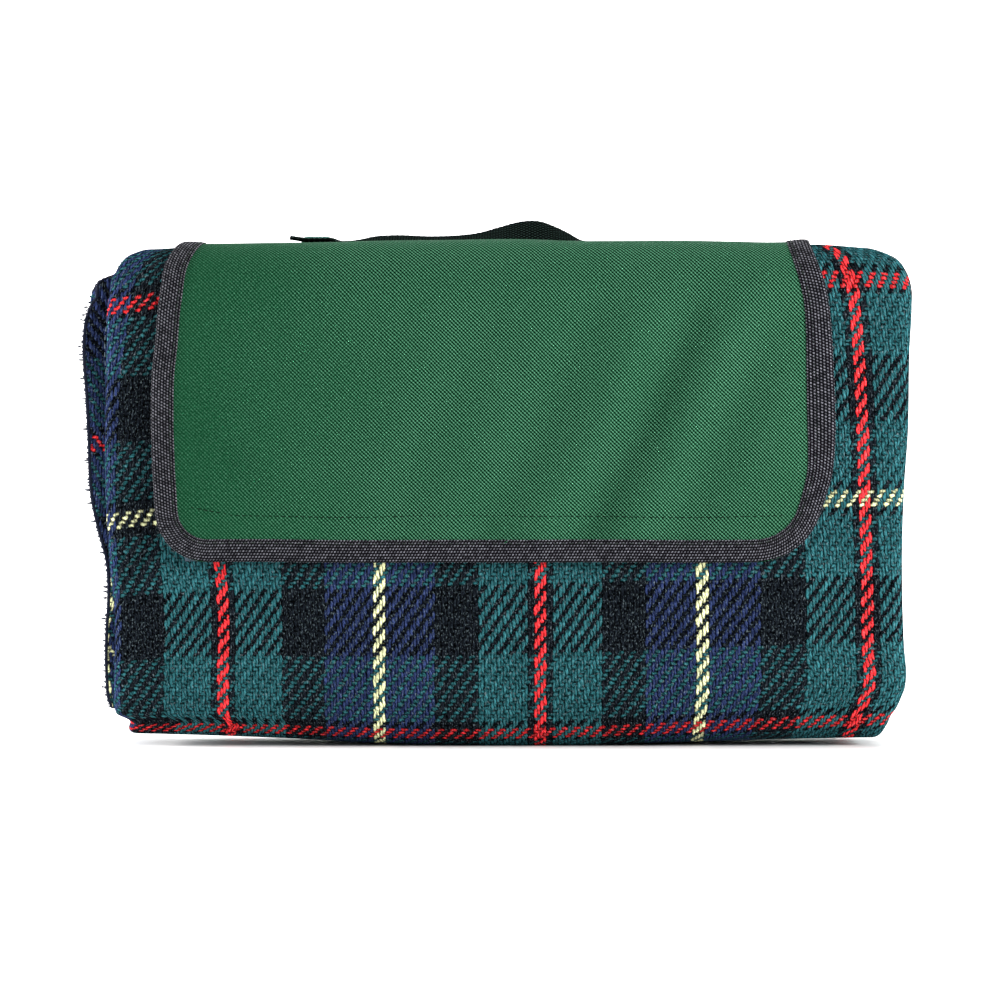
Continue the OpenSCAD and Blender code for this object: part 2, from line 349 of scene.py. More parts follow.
def on_front(s):
    """1 where the strip is still the outer leaf at the front, 0 past its bend at the top."""
    return smooth((MARK["crest"] + 34 - s) / 28)


def left_shift(y, z, outer):
    """How far the bundle's left edge moves to the right, at each leaf and height."""
    to_rear = smooth((y - leaf_y(2) - 3.5) / 4.0)
    value = through(z, LEFT_FRONT) * outer + through(z, LEFT_MIDDLE) * (1 - outer)
    uneven = 1.3 * np.sin(y / 3.1) * smooth((y + 15) / 10)
    return value * (1 - to_rear) + (through(z, LEFT_REAR) + uneven) * to_rear


def right_shift(y, z):
    leaves = [leaf_y(i) for i in range(1, 9)]
    return through(z, RIGHT_ALL) + np.interp(y, leaves, LEAF_SHIFT) * smooth((190 - z) / 20)


def warp(p, spread=True, outer=0.0):
    """Moves points of the CAD's shape to where the soft bundle settles; outer is on_front at their strip."""
    x, y, z = p[..., 0], p[..., 1], p[..., 2]
    dx = 0
    if spread:
        dx = left_shift(y, z, outer) * smooth((-50 - x) / 112) + right_shift(y, z) * smooth((x - 50) / 112)
    across = np.clip(x / HALF_WIDE, -1.1, 1.1)
    low = smooth((70 - z) / 70)
    body = smooth(z / 30) * smooth((205 - z) / 60)
    crown = 2.2 * (1 - across**2) * body
    lump = 0.7 * ripple(x / 210, z / 140, 1.3) * body
    dy = (-crown - lump) * np.clip(-y / 40, -1, 1) + 0.5 * ripple(x / 90, z / 75, 4.1) * body
    corner = smooth((np.abs(x) - 100) / 70)
    dy = dy - y * 0.05 * corner
    dz = through(x, LIFT) * low + 0.35 * ripple(x / 120, y / 60, 2.2) * smooth(z / 60)
    high = smooth((z - 165) / 30) * smooth((10 - y) / 20)
    dz = dz + high * (2.0 * np.exp(-(((x - 138) / 20) ** 2)) + 1.2 * np.exp(-(((x + 140) / 14) ** 2)))
    return points(x + dx, y + dy + BUNDLE_Y, z + dz)


# ---- the cross-section of a leaf: ply D, the right fold, ply A, the left fold, ply B, and ply C ----

EDGE_MM = 26
EDGE = np.array([0, 4, 8, 13, 19, EDGE_MM])


def reach(x0, x1, part, count):
    """Positions along a ply from x0 to x1: its first 26 mm, its last 26 mm, or what is between."""
    side = 1 if x1 > x0 else -1
    if part == "first":
        return x0 + side * EDGE
    if part == "last":
        return x1 - side * EDGE[::-1]
    return np.linspace(x0 + side * EDGE_MM, x1 - side * EDGE_MM, count)


def free_edge(big):
    """Where the sheet's own edges are; a bigger left fold covers them."""
    return LEFT_X - 1.7 + 6 * (big - PLY_T)


def leaf_profile(part, d, big, count, trim):
    """Points (v, x) of one part of the sheet, d below its face; big is the left fold's radius."""
    ply, _, place = part.partition("_")
    free_x = free_edge(big) + trim
    fold_x = LEFT_X + big - PLY_T
    ends = {"D": (free_x, RIGHT_X), "A": (RIGHT_X, fold_x), "B": (fold_x, RIGHT_X), "C": (RIGHT_X, free_x)}
    if ply in ends:
        x = reach(*ends[ply], place, count)
        tuck = (HALF_T - 2 * big) * (1 - smooth((x - fold_x) / 18))
        v = {"D": d - HALF_T, "A": HALF_T - d, "B": tuck + d + PLY_GAP, "C": -d - PLY_GAP}[ply]
        return points(v, x)[:, :2]
    if part == "left":
        a = np.radians(np.linspace(90, 270, 13))[1:-1]
        r = max(big - d, 0.05)
        return points(HALF_T - big + r * np.sin(a), fold_x + r * np.cos(a))[:, :2]
    if part == "right":
        a = np.radians(np.linspace(-90, 90, 15))[1:-1]
        r = HALF_T - d
    else:
        a = np.radians(np.linspace(90, -90, 5))[1:-1]
        r = d + PLY_GAP
    return points(r * np.sin(a), RIGHT_X + r * np.cos(a))[:, :2]


def big_fold(s):
    """Radius of the left fold along the strip: the outer leaf rolls over its own free edges."""
    grow = smooth((s - 6) / 20)
    shrink = smooth((MARK["crest"] + 22 - s) / 30)
    return PLY_T + (HALF_T - PLY_T) * grow * shrink


def strip_grid(parts, s, depth, count, trim):
    """Grids (along the strip, across the sheet) of the CAD's points, and of the profile's (v, x)."""
    grid = []
    profiles = []
    keep = None
    for length in s:
        profile = np.concatenate([leaf_profile(part, depth, big_fold(length), count, trim) for part in parts])
        if keep is None:
            keep = np.append(True, np.linalg.norm(np.diff(profile, axis=0), axis=1) > 1e-6)
        profile = profile[keep]
        grid.append(points(profile[:, 1], *STRIP.point(length, profile[:, 0])))
        profiles.append(profile)
    return np.array(grid), np.array(profiles)


# ---- the tartan's place on the cloth: x counts warp yarns and y counts picks ----

WARP_MM = 64 / 52
WEFT_MM = 1.72
RED_X = 17.2
WARP_REPEAT = 52
WEFT_REPEAT = 104
DENSE = np.array(STRIP.length)
OUTER_LENGTH = run_length(np.stack(STRIP.point(DENSE, HALF_T), 1))
OUTER_LENGTH += BOTTOM_R - np.interp(MARK["leaf1"], DENSE, OUTER_LENGTH)
# How far the cloth has slipped to the right at each height on the front, near each edge.
RIGHT_SLIP = [(0, 3.4), (34, 3.2), (58, 3.8), (87, 3), (131, -0.6), (161, -2.8), (179, -5.3), (190, -6.4),
              (202, -5.6), (225, -1)]
LEFT_SLIP = [(40, 0), (115, 2), (150, 3.6), (188, 7)]
# Where the yellow stripe of the inner leaves lies at each height.
YELLOW_X = [(0, -155.6), (56, -155.6), (72, -150.6), (200, -150.6)]


def outer_cloth(profiles, s):
    """The pattern on the outer leaf, carried round its folds by the length of cloth."""
    along = run_length(profiles)
    start = int(np.argmax((profiles[0, :, 0] > HALF_T - 0.01) & (profiles[0, :, 1] <= RIGHT_X)))
    x = RIGHT_X - (along - along[:, start:start + 1])
    height = np.interp(s, DENSE, OUTER_LENGTH)[:, None]
    slip = through(height, RIGHT_SLIP) * smooth((x - 60) / 80)
    slip = slip + through(height, LEFT_SLIP) * smooth((-118 - x) / 26)
    x = x + 10.4 * smooth((-50 - x) / 112) - 2.6 * smooth((x - 50) / 112) - slip
    height = height - 0.024 * np.clip(x, -170, 180) + 0.09 * np.clip(-134 - x, 0, 30)
    return points((x - RED_X) / WARP_MM, (height - 3.1) / WEFT_MM)


def inner_cloth(straight, placed, profiles, s, forward):
    """The pattern on the other leaves, by the length of cloth: a yellow stripe near their left edge."""
    x = straight[:, :1, 0] + forward * run_length(profiles) + placed[..., 0] - straight[..., 0]
    z = MARK["leaf2"] + CREST_Z - s[:, None]
    stripe = through(z, YELLOW_X)
    return points(7 * WARP_REPEAT + (stripe - x) / WARP_MM, WEFT_REPEAT + (z - 118 + 0.02 * x) / WEFT_MM)


def ply_sheet(parts, s, d0, d1, count, pattern, trim=0.0):
    outer, profiles = strip_grid(parts, s, d0, count, trim)
    inner, _ = strip_grid(parts, s, d1, count, trim)
    front = on_front(s)[:, None]
    outer_placed = warp(outer, outer=front)
    cloth = np.zeros_like(outer)
    if pattern == "outer":
        cloth = outer_cloth(profiles, s)
    elif pattern == "inner":
        cloth = inner_cloth(outer, outer_placed, profiles, s, 1 if parts[0][0] in "DB" else -1)
    return outer_placed, warp(inner, outer=front), cloth


OUTER_PARTS = ["D_last", "right", "A_first", "A_mid", "A_last", "left", "B_first"]
EDGE_PARTS = [["D_first"], ["D_last", "right", "A_first"], ["A_last", "left", "B_first"], ["C_last"]]
CORE_PARTS = [["D_mid"], ["A_mid"], ["B_mid", "B_last", "nose", "C_first", "C_mid"]]
UNDER_PARTS = [["D_mid"], ["B_mid", "B_last", "nose", "C_first", "C_mid"]]
ALL_PARTS = ["D_first", "D_mid", "D_last", "right", "A_first", "A_mid", "A_last", "left", "B_first", "B_mid",
             "B_last", "nose", "C_first", "C_mid", "C_last"]


def build_blanket(tartan, foam, film):
    front_s = STRIP.samples(MARK["floor"], MARK["inside"], 3.4, 5)
    back_s = STRIP.samples(0, MARK["floor"], 3.6, 8)
    inner_s = STRIP.samples(MARK["inside"], MARK["end"], 7, 15)
    outer_s = STRIP.samples(0, MARK["inside"], 7, 15)
    core_s = STRIP.samples(MARK["inside"], MARK["end"], 14, 22)
    whole_s = STRIP.samples(EDGE_TRIM, MARK["end"] - EDGE_TRIM, 9, 18)
    whole_s = np.union1d(whole_s, MARK["floor"] + np.arange(-30, 31, 3))

    def face(parts, s, count, pattern="inner"):
        return ply_sheet(parts, s, 0, FACE_T, count, pattern)

    def filling(top, bottom):
        return [ply_sheet(ALL_PARTS, whole_s, top, bottom, 12, None, EDGE_TRIM)]

    edges = [face(parts, inner_s, 3) for parts in EDGE_PARTS]
    edges += [face(parts, outer_s, 3) for parts in (["D_first"], ["C_last"])]
    core = [face(parts, core_s, 14) for parts in CORE_PARTS]
    core += [face(parts, outer_s, 14) for parts in UNDER_PARTS]
    return [
        slabs("tartan_front", [face(OUTER_PARTS, front_s, 72, "outer")], tartan),
        slabs("tartan_back", [face(OUTER_PARTS, back_s, 72, "outer")], tartan),
        slabs("tartan_edges", edges, tartan),
        slabs("tartan_core", core, tartan),
        slabs("foam", filling(FACE_T, PLY_T - FILM_T), foam),
        slabs("film", filling(PLY_T - FILM_T, PLY_T), film),
    ]


# ---- the thread along the blanket's edges ----

# The overlock's section: depth below the face, and distance inside the cloth's edge.
BAND_DEPTH = np.array([0.05, -0.1, -0.14, -0.12, -0.02, 0.2, 0.8, 1.6, 2.1, 2.35, 2.42, 2.42, 2.2])
BAND_IN = np.array([0.9, 0.7, 0.4, 0.1, -0.2, -0.4, -0.55, -0.55, -0.35, 0.1, 0.9, 2.2, 2.5])


def edge_point(s, d, x, ply):
    """A warped point on a free ply: s along the strip, d below its face, and x from its own free edge."""
    y, z = STRIP.point(s, d - HALF_T if ply == "D" else -d)
    return warp(points(free_edge(big_fold(s)) + x, y, z), outer=on_front(s))


def overlock_bands():
    """The mat of thread round the sheet's edges: two along the leaves' left, one over each free end."""
    core_depth = 1.15 + (BAND_DEPTH - 1.15) * 0.72
    core_in = np.maximum(BAND_IN, BAND_IN * 0.4)
    sections = ((BAND_DEPTH, BAND_IN), (core_depth, core_in))
    across = np.arange(len(BAND_IN)) * 0.8
    s = STRIP.samples(1.0, MARK["end"] - 1.0, 5, 12)[:, None]
    sheets = []
    for ply in "DC":
        outer, inner = (edge_point(s, depths, insides, ply) for depths, insides in sections)
        sheets.append((outer, inner, points(s, across)))
    for end, side in ((0.0, 1), (MARK["end"], -1)):
        grids = []
        for depths, insides in sections:
            rows = []
            for depth, inside in zip(depths, insides):
                profile = np.concatenate([leaf_profile(part, depth, PLY_T, 30, 0.0) for part in ALL_PARTS])
                y, z = STRIP.point(end + side * max(inside, 0.0), profile[:, 0])
                rows.append(points(profile[:, 1], y, z - min(inside, 0.0)))
            grids.append(warp(np.array(rows)))
        length = np.arange(grids[0].shape[1]) * 2.0
        sheets.append((*grids, points(length, across[:, None])))
    return sheets


HEM_IN = 8.6


def hem_lines():
    """A row of pale stitches that runs along the free plies, inside the overlock."""
    lines = []
    for ply in "DC":
        s = 6.0
        while s < MARK["end"] - 6:
            t = s + np.array([0, 0.4, 1.1, 1.8, 2.2])
            lines.append(edge_point(t, np.array([0.2, -0.12, -0.18, -0.12, 0.2]), HEM_IN, ply))
            s += 3.4
    return lines


def overlock_lines():
    """Thread loops round the free edges of plies C and D, and over the blanket's two free ends."""
    lines = []
    for ply in "DC":
        s = 4.0
        while s < MARK["end"] - 3:
            lean = random.uniform(0.6, 1.9)
            stick = random.choice([0.7, 0.8, 0.9, 1.1, 1.3, 2.4])
            depth = random.uniform(1.2, 2.6)
            ds = np.array([0, 0.2, 0.45, 0.6, 0.8, 1.0]) * lean
            dx = np.array([depth, 0.3, -stick, -stick * 0.8, 0.3, depth])
            dd = np.array([-0.3, -0.42, 0.6, 1.7, 2.48, 2.46])
            lines.append(edge_point(np.clip(s + ds, 0, MARK["end"]), dd, dx, ply))
            s += random.uniform(1.9, 2.8)
    for s_end, side in ((0.0, 1), (MARK["end"], -1)):
        for v0, inward in ((HALF_T, -1), (0.0, 1), (0.0, -1), (-HALF_T, 1)):
            x = -158.0
            while x < 160:
                lean = random.uniform(0.5, 1.6)
                s = s_end + side * np.array([3.4, 0.2, -0.8, -0.8, 0.2, 3.4])
                v = v0 + inward * np.array([-0.3, -0.4, 0.5, 1.7, 2.48, 2.46])
                y, z = STRIP.point(np.clip(s, 0, MARK["end"]), v)
                z = z - np.where(s < 0, s, 0) + np.where(s > MARK["end"], s - MARK["end"], 0)
                lines.append(warp(points(x + np.linspace(0, lean, 6), y, z)))
                x += random.uniform(2.4, 3.2)
    return lines


# ---- the cover: s runs up the front from the flap's edge, over the top and down the back ----

def cover_line():
    line = Line()
    line.straight(FRONT_FACE, FLAP_BOTTOM, FRONT_FACE, FRONT_CZ).mark("arc")
    line.arc(FRONT_CY, FRONT_CZ, FRONT_R, 180, 90).mark("top")
    line.straight(FRONT_CY, TOP_Z, BACK_CY, TOP_Z).mark("back_arc")
    line.arc(BACK_CY, BACK_CZ, BACK_R, 90, 0).mark("back")
    line.straight(FACE_Y, BACK_CZ, FACE_Y, BACK_BOTTOM).mark("end")
    return line


COVER = cover_line()
COVER_MARK = COVER.marks
TOP_MIDDLE = COVER_MARK["top"] + (5 - BUNDLE_Y - FRONT_CY)
FLAP_LEFT = [(19, -135.8), (36, -136.8), (60, -137.4), (76, -137), (87, -135.8), (100, -134.8), (106, -134),
             (120, -132), (130, -128.8), (136, -126.6), (150, -125.6), (196, -125), (215, -126), (300, -126)]
FLAP_RIGHT = [(19, 129.5), (36, 133.4), (60, 134.4), (76, 133.8), (93, 132.8), (104, 131.6), (112, 129.8),
              (120, 127.6), (130, 125.4), (140, 125), (150, 125.4), (196, 125.8), (215, 126), (300, 126)]
CORNER_LEFT = 21.0
CORNER_RIGHT = 27.0


def flap_edge(s, side):
    """The flap's left or right edge at length s, with its rounded lower corner."""
    edge = through(s, FLAP_LEFT if side < 0 else FLAP_RIGHT)
    r = CORNER_LEFT if side < 0 else CORNER_RIGHT
    under = np.clip(r - s, 0, r)
    return edge - side * (r - np.sqrt(r * r - under * under))


# Heights of the drapes that lean down to the left across the flap, by where each one meets the flap's edge.
DRAPES = [(-150, 0), (-112, -0.05), (-97, 0.3), (-82, -0.25), (-60, 0.6), (-41, -0.4), (-21, 1.15),
          (-2, -1.1), (15, 1.2), (31, -0.7), (52, 0)]
# How far the cover's front bend at the top stands up along its length.
CREST = [(-128, 0.2), (-85, 0.9), (-66, 1.2), (-48, 1.8), (-20, 2.2), (10, 2.6), (30, 2), (45, 2.1),
         (70, 1.9), (90, 1.2), (118, 0.5)]


def drape(x, s):
    """How far the cover stands off its smooth shape, outwards."""
    lean = x - 0.45 * s - 33
    bent = lean + 4 * ripple(x / 220, s / 150, 0.4)
    fold = through(bent, DRAPES) * smooth((122 - s) / 34) * smooth((s - 1) / 11) * smooth((132 - x) / 14)
    soft = 0.4 * ripple(x / 150, s / 95, 3.3) * smooth(s / 30)
    across = (s - 50 + 0.69 * (x + 124)) * 0.82
    along = np.exp(-(((x + 106) / 17) ** 2))
    pucker = -1.7 * np.exp(-((across / np.where(across > 0, 4.6, 9.0)) ** 2)) * along
    lip = 0.7 * np.exp(-(((across - 11) / 6) ** 2)) * along
    fall = s - 10.4 + 0.1 * (x - 1) ** 2
    dimple = -1.3 * np.exp(-(((fall + 1.2) / 1.3) ** 2)) + 0.7 * np.exp(-(((fall - 1.5) / 1.8) ** 2))
    dimple = dimple * np.exp(-(((x - 1) / 4.5) ** 2))
    seam = -0.4 * np.exp(-((s - hook_seam(x)) / 1.5) ** 2) * smooth((x + 128) / 4) * smooth((121 - x) / 4)
    crest = through(x, CREST) * np.exp(-(((s - 131) / 13) ** 2))
    sag = -1.3 * np.exp(-((s - 163) / 14) ** 2) * (1 - np.clip(np.abs(x) / 130, 0, 1) ** 4)
    return fold * 1.5 + soft + pucker + lip + dimple + seam + crest + sag


def hook_seam(x):
    """Length s of the hook tape's line of stitches."""
    return 18.3 + 0.2 * np.clip(-104 - x, 0, 30) + 0.5 * ripple(x / 130, 0 * x, 0.9)


def cover_point(x, s, n):
    """A point of the cover: x across, s along it, and n out from the inner side of its binding."""
    n = n + drape(x, s)
    left = flap_edge(np.maximum(s, 30), -1)
    right = flap_edge(np.maximum(s, 30), 1)
    near = np.maximum(smooth((left + 26 - x) / 26), smooth((x - right + 26) / 26))
    lie = smooth((s - 22) / 20) * smooth((COVER_MARK["top"] - s) / 20)
    n = n - 1.7 * near * lie
    y, z = COVER.point(s, n)
    return warp(points(x, y, z + np.minimum(s, 0)), spread=False)


def cover_sheet(name, s, n_out, n_in, material):
    """One layer of the cover from edge to edge, set in by half a millimetre."""
    s = s[:, None]
    t = np.linspace(0, 1, 96)
    x = (flap_edge(s, -1) + 0.5) * (1 - t) + (flap_edge(s, 1) - 0.5) * t
    s = s + 0 * x
    return slabs(name, [(cover_point(x, s, n_out), cover_point(x, s, n_in), points(x, s))], material)


# Lengths of the cover's rows, close together where the lower corners turn.
CORNER_ROWS = CORNER_RIGHT * (1 - np.cos(np.linspace(0.12, math.pi / 2, 13)))
FRONT_ROWS = np.concatenate([[0.5], CORNER_ROWS, COVER.samples(30, TOP_MIDDLE, 2.8, 7)])
REAR_ROWS = COVER.samples(TOP_MIDDLE, COVER_MARK["end"] - 0.5, 3, 9)


# ---- the binding: a folded tape that runs round the cover's edge ----

def cover_outline(left_s, right_s, bottom_s):
    """The cover's edge as (x, s): from the top's middle down the left, across, and up the right."""
    left = np.stack([flap_edge(left_s, -1), left_s], 1)
    right = np.stack([flap_edge(right_s, 1), right_s], 1)
    bottom = [(x, bottom_s) for x in np.linspace(left[-1, 0], right[0, 0], 78)[1:-1]]
    return np.concatenate([left, bottom, right])


def flap_outline():
    down = COVER.samples(TOP_MIDDLE, 30, 2.4, 5)
    turn = 1 - np.cos(np.linspace(math.pi / 2, 0, 12))
    return cover_outline(np.append(down, CORNER_LEFT * turn), np.append(down, CORNER_RIGHT * turn)[::-1], 0.0)


def rear_outline():
    down = COVER.samples(TOP_MIDDLE, COVER_MARK["end"], 2.8, 6)
    return cover_outline(down, down[::-1], COVER_MARK["end"])


def even_line(outline, step):
    """The line again, with its points evenly spaced; also each point's length and direction."""
    length = run_length(outline)
    grid = np.linspace(0, length[-1], int(length[-1] / step) + 1)
    line = np.stack([np.interp(grid, length, outline[:, k]) for k in range(2)], 1)
    along = np.gradient(line, axis=0)
    for _ in range(3):
        along[1:-1] = (along[:-2] + 2 * along[1:-1] + along[2:]) / 4
    along /= np.linalg.norm(along, axis=1)[:, None]
    return line, grid, along


# How much wider than at the bottom the right binding looks, by length s.
BINDING_WIDE = [(0, 1), (25, 1.04), (45, 1.2), (60, 1.25), (80, 1.2), (101, 1.1), (130, 1.02), (150, 1)]
# The tape's section: distance in from the edge, and out from the inner side.
BINDING_OUTER = np.array([
    (9.0, 1.50), (9.02, 1.82), (8.75, 2.02), (8.2, 2.07), (7.7, 1.98), (7.5, 1.90), (7.3, 1.98), (6.4, 2.16),
    (5.0, 2.28), (3.2, 2.30), (1.9, 2.22), (0.9, 2.0), (0.25, 1.6), (0.0, 1.0), (0.25, 0.4), (0.9, 0.05),
    (2.0, -0.05), (4.0, -0.08), (6.0, -0.06), (7.6, 0.0), (8.0, 0.1), (8.0, 0.45)])


def binding_inner():
    """The tape's inner side: the same fold, half a millimetre in."""
    w, n = BINDING_OUTER.T
    half = np.maximum(np.abs(n - 1) - 0.45, np.where(w > 0.5, 0.5, 0))
    return np.stack([np.maximum(w, 0.5), 1 + np.where(n >= 1, half, -half)], 1)


def binding(name, outline, inside, material):
    """inside is 1 where the cover lies to the left of the outline's direction."""
    line, length, along = even_line(outline, 2.2)
    inward = np.stack([-along[:, 1], along[:, 0]], 1) * inside
    wide = 1 + (through(line[:, 1:2], BINDING_WIDE) - 1) * smooth((line[:, 0:1] - 100) / 20)
    grids = []
    for w, n in (BINDING_OUTER.T, binding_inner().T):
        x = line[:, 0:1] + inward[:, 0:1] * w * wide
        s = line[:, 1:2] + inward[:, 1:2] * w * wide
        grids.append(cover_point(x, s, n))
    return slabs(name, [(*grids, points(length[:, None], run_length(BINDING_OUTER)))], material)


def stitch_lines(outline, inside, inset, n, pitch=3.0, dash=2.3, jitter=0.12):
    """Short threads that follow an outline at an inset."""
    line, _, along = even_line(outline, 1.0)
    path = line + np.stack([-along[:, 1], along[:, 0]], 1) * inside * inset
    run = run_length(path)
    lift = np.array([-0.25, 0.08, 0.14, 0.08, -0.25])
    lines = []
    start = 1.0
    while start + dash < run[-1]:
        t = start + np.linspace(0, dash, 5)
        x = np.interp(t, run, path[:, 0])
        s = np.interp(t, run, path[:, 1]) + random.uniform(-jitter, jitter)
        lines.append(cover_point(x, s, n + lift))
        start += pitch
    return lines


# ---- tapes and handle ----

LOOP_Y = -FACE_Y - 1.3


def build_loop_tape(material):
    x, z = np.meshgrid(np.linspace(-124, 106, 90), np.linspace(73.4, 89.4, 12))
    fray = (0.2 * ripple(x / 9, z / 30, 1.1) + 0.9 + 1.3 * smooth((x + 121) / 12)) * (z < 74)
    sides = [warp(points(x, y, z + fray), False) for y in (LOOP_Y, LOOP_Y + 1.22)]
    return slabs("loop_tape_cloth", [(*sides, points(x, z))], material)


def loop_tape_stitches():
    corners = [(-122, 75.4), (104, 75.4), (104, 87.4), (-122, 87.4), (-122, 75.4)]
    lift = np.array([0.2, -0.1, -0.16, -0.1, 0.2])
    lines = []
    for start, end in zip(corners, corners[1:]):
        lines += [warp(points(x, LOOP_Y + lift, z), False) for x, z in dashes(start, end, 3, 0.85)]
    return lines


def build_hook_tape(material):
    x, s = np.meshgrid(np.linspace(-124, 117.5, 90), np.linspace(4.3, 20.3, 12))
    n_out = -0.13 + 0.55 * smooth((s - 8.3) / 1.2)
    sides = [cover_point(x, s, n) for n in (n_out, -0.9)]
    return slabs("hook_tape_cloth", [(*sides, points(x, s))], material)


WEB_Y = 4.0
WEB_HALF = 12.5
WEB_T = 1.3
WEB_Z = 200.9
WEB_COLUMNS = 17
RIB_MM = 2.2
HUMP_X = 13.0
TAB_T = 1.45
# How far the webbing's rear edge rises from its sewn level along its length.
REAR_RISE = [(-62, 1.1), (-57, 1.6), (-50, 3.1), (-42, 3.7), (-27, 3.3), (-17, 3.7), (-7, 5.1), (1, 7.5),
             (8, 9.5), (13, 10.2), (18, 9.8), (23, 7.9), (29, 4.9), (34, 1.9), (40, 0.6), (52, 0.1)]


def web_height(x, across):
    """Height of the webbing's underside; across runs from -1 at the front to 1 at the rear."""
    return 0.05 + through(x, REAR_RISE) * (0.5 + 0.5 * across) ** 0.9


def tab_height(x, across):
    """The left sewn end: the top layer lies on the end folded under it, and its tip lifts."""
    on_fold = smooth((-62.2 - x) / 6)
    tip = np.clip((-78.6 - x) / 5, 0, 1)
    rise = 0.05 + on_fold * (TAB_T + 0.3 + 0.7 * (0.5 + 0.5 * across)) + 0.7 * tip
    return rise + (1 - on_fold) * 1.05 * (0.5 + 0.5 * across)


def under_height(x, across):
    """The end folded under the left sewn end's top layer."""
    return np.maximum(tab_height(x, across) - TAB_T - 0.06, 0.04)


def flat_height(x, across):
    """An end that lies on the cover, with its outer tip lifted a little."""
    return 0.04 + 0.7 * np.clip((x - 67.6) / 4, 0, 1) ** 2 * (0.6 + 0.4 * across)


def weave_relief(x, across):
    """Height of the ribs, in columns that are offset by half a rib."""
    place = (across + 1) * WEB_COLUMNS / 2
    column = np.floor(place)
    rib = np.abs(np.sin(math.pi * (x / RIB_MM + 0.5 * (column % 2))))
    return 0.24 * np.sqrt(rib) * (0.45 + 0.55 * np.sin(math.pi * (place - column)))


def web_grid(x, base):
    """Top and under sides of a stretch of webbing; base(x, across) is the height of its underside."""
    x, across = np.meshgrid(x, ACROSS)
    scallop = 0.3 * np.abs(np.sin(math.pi * x / RIB_MM)) * (np.abs(across) > 0.97)
    y = WEB_Y + WEB_HALF * across + np.sign(across) * scallop
    under = WEB_Z + base(x, across)
    edge = 0.35 * smooth((np.abs(across) - 0.9) / 0.1)
    relief = weave_relief(x, across)
    top = points(x, y, under + WEB_T - 0.15 - edge + relief)
    low = points(x, y, under + 0.1 + edge - relief)
    return warp(top, False), warp(low, False), points(x, across * WEB_HALF)


ACROSS = np.unique(np.concatenate([np.linspace(-1, 1, 52), [-0.985, 0.985]]))


def build_handle(material):
    left = slabs("handle_left", [web_grid(np.linspace(-62.2, HUMP_X, 140), web_height)], material)
    right = slabs("handle_right", [web_grid(np.linspace(HUMP_X, 50.2, 69), web_height)], material)
    return left, right


def build_handle_end(name, layers, material):
    """A sewn end of the webbing; each layer is (from x, to x, height)."""
    sheets = [web_grid(np.arange(x0, x1 + 0.01, 0.55), height) for x0, x1, height in layers]
    return slabs(name, sheets, material)


def box_stitches(x0, x1, height):
    """A sewn box with both its diagonals."""
    a, b, c, d = (x0, WEB_Y - 9.5), (x1, WEB_Y - 9.5), (x1, WEB_Y + 9.5), (x0, WEB_Y + 9.5)
    lift = np.array([-0.2, 0.12, 0.2, 0.12, -0.2])
    lines = []
    for start, end in ((a, b), (b, c), (c, d), (d, a), (a, c), (d, b)):
        for x, y in dashes(start, end, 2.7, 0.88, 3):
            z = WEB_Z + WEB_T + 0.05 + height(x, (y - WEB_Y) / WEB_HALF) + lift
            lines.append(warp(points(x, y, z), False))
    return lines


# ---- materials ----

def linear(r, g, b):
    """A colour given as it looks on a screen, 0 to 255, as Blender's linear colour."""
    values = []
    for c in (r, g, b):
        c = c / 255
        values.append(c / 12.92 if c <= 0.04045 else ((c + 0.055) / 1.055) ** 2.4)
    return (*values, 1.0)


def arithmetic(operation):
    return lambda value, other: value.shade.math(operation, value, other)


class Value:
    """A number inside a material; arithmetic on it makes the nodes that work it out."""

    def __init__(self, shade, socket):
        self.shade = shade
        self.socket = socket

    def __rsub__(self, other):
        return self.shade.math("SUBTRACT", other, self)

    __add__ = arithmetic("ADD")
    __sub__ = arithmetic("SUBTRACT")
    __mul__ = arithmetic("MULTIPLY")
    __truediv__ = arithmetic("DIVIDE")
    __mod__ = arithmetic("FLOORED_MODULO")
    __pow__ = arithmetic("POWER")


